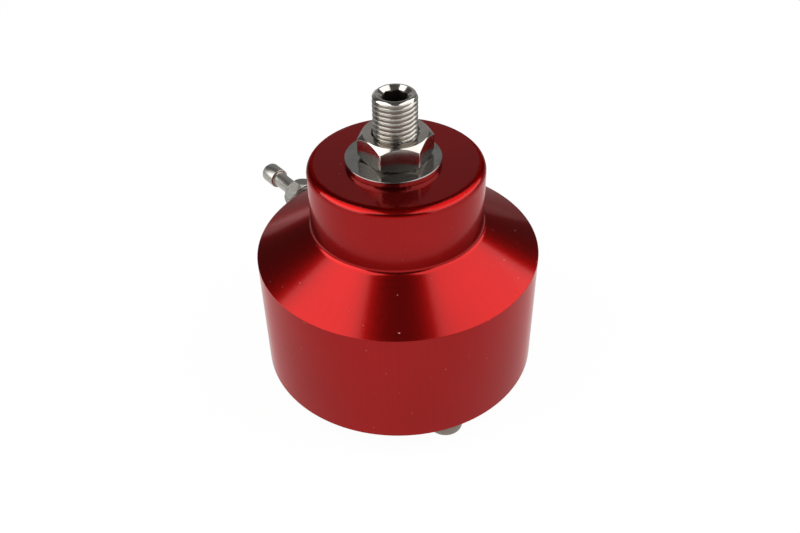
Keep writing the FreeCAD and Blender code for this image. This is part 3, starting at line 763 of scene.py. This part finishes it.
def mixed(tree, factor, first, second):
    made = tree.nodes.new("ShaderNodeMixShader")
    tree.links.new(factor.socket, made.inputs[0])
    tree.links.new(first, made.inputs[1])
    tree.links.new(second, made.inputs[2])
    return made.outputs[0]


def white_floor():
    """White to the camera, bright in front and dim behind in the metal, with a painted contact
    shadow near the foot, matt for other light.
    """
    floor = Material("floor_white", roughness=0.9, base_color=(0.9, 0.9, 0.9, 1.0))
    path = floor.node("ShaderNodeLightPath")
    _, x, y, _ = floor.place()
    radius = (x * x + y * y).math("SQRT")
    far = y.smooth(GLOW_NEAR, GLOW_FAR)
    # Painted contact shadow: the mirrored glow is dimmed near the foot.
    painted_contact_shade = PAINTED_CONTACT_SHADE + radius.smooth(PAINTED_SHADE_FROM, PAINTED_SHADE_TO) * (1 - PAINTED_CONTACT_SHADE)
    mirrored = (path[GLOSSY_RAY] + path[TRANSMISSION_RAY]).math("MINIMUM", 1.0)
    bright = path[CAMERA_RAY].math("MAXIMUM", (1.0 - far) * painted_contact_shade)
    glow = mixed(floor.tree, bright, emission(floor.tree, FAR_FLOOR), emission(floor.tree, 1.0))
    seen = (path[CAMERA_RAY] + mirrored).math("MINIMUM", 1.0) * GLOW_SHARE
    surface = mixed(floor.tree, seen, floor.surface.outputs[0], glow)
    floor.tree.links.new(surface, floor.tree.nodes["Material Output"].inputs[0])
    return floor.data


floor_mesh = bpy.data.meshes.new("floor")
corners = [(x * FLOOR_HALF, y * FLOOR_HALF, 0) for x, y in ((-1, -1), (1, -1), (1, 1), (-1, 1))]
floor_mesh.from_pydata(corners, [], [(0, 1, 2, 3)])
floor_mesh.materials.append(white_floor())
floor = bpy.data.objects.new("floor", floor_mesh)
bpy.context.scene.collection.objects.link(floor)

world = bpy.data.worlds.new("room")
world.use_nodes = True
bpy.context.scene.world = world
sky = world.node_tree.nodes
links = world.node_tree.links
room = sky["Background"]
room.inputs["Color"].default_value = (ROOM_GREY, ROOM_GREY, ROOM_GREY, 1)
backdrop = sky.new("ShaderNodeBackground")
backdrop.inputs["Color"].default_value = (1, 1, 1, 1)
path = sky.new("ShaderNodeLightPath")
choose = sky.new("ShaderNodeMixShader")
links.new(path.outputs["Is Camera Ray"], choose.inputs[0])
links.new(room.outputs[0], choose.inputs[1])
links.new(backdrop.outputs[0], choose.inputs[2])
links.new(choose.outputs[0], sky["World Output"].inputs[0])
print("floor", 2 * FLOOR_HALF, "m across, room grey", ROOM_GREY)

# %% [markdown]
# ## The panels
# Each lamp is placed by the direction in which the metal mirrors it: azimuth round the axis and
# elevation over the floor, in degrees. Width and height are in metres, and so is the last number,
# which moves the lamp along Y. Its power follows from the radiance that we want to see in the
# metal, so a larger panel lights more and looks no brighter.

# %% Panels
BOX_DISTANCE = 0.6
BOX_AIM_HEIGHT = 0.04
LAMPS = (  # name, azimuth, elevation, width, height, radiance, shift
    ("left_low", 180, 21.5, 0.84, 0.36, 3.5, -0.29),
    ("left_high", 180, 55.5, 0.88, 0.37, 2.6, -0.27),
    ("right_low", 0, 21.5, 1.06, 0.36, 2.6, -0.17),
    ("right_high", 0, 55.5, 1.06, 0.37, 2.3, -0.17),
    ("back_card", 90, 20.0, 0.75, 0.48, 0.30, 0.0),
    ("back_left_card", 114, 3.0, 0.24, 0.07, 0.7, 0.0),
)


def soft_box(name, azimuth, elevation, width, height, radiance, shift):
    """An area lamp that faces the regulator, set by the direction in which it is mirrored."""
    a = math.radians(azimuth)
    e = math.radians(elevation)
    towards = Vector((math.cos(a) * math.cos(e), math.sin(a) * math.cos(e), math.sin(e)))
    data = bpy.data.lights.new(name, "AREA")
    data.shape = "RECTANGLE"
    data.size = width
    data.size_y = height
    data.energy = radiance * math.pi * width * height
    lamp = bpy.data.objects.new(name, data)
    lamp.location = Vector((0, shift, BOX_AIM_HEIGHT)) + towards * BOX_DISTANCE
    lamp.rotation_mode = "QUATERNION"
    lamp.rotation_quaternion = towards.to_track_quat("Z", "Y")
    bpy.context.scene.collection.objects.link(lamp)


for row in LAMPS:
    soft_box(*row)
print("lamps:", len(LAMPS))

# %% [markdown]
# ## Colour
# Standard view keeps the colours as they are written in the materials.

# %% View
bpy.context.scene.view_settings.view_transform = "Standard"
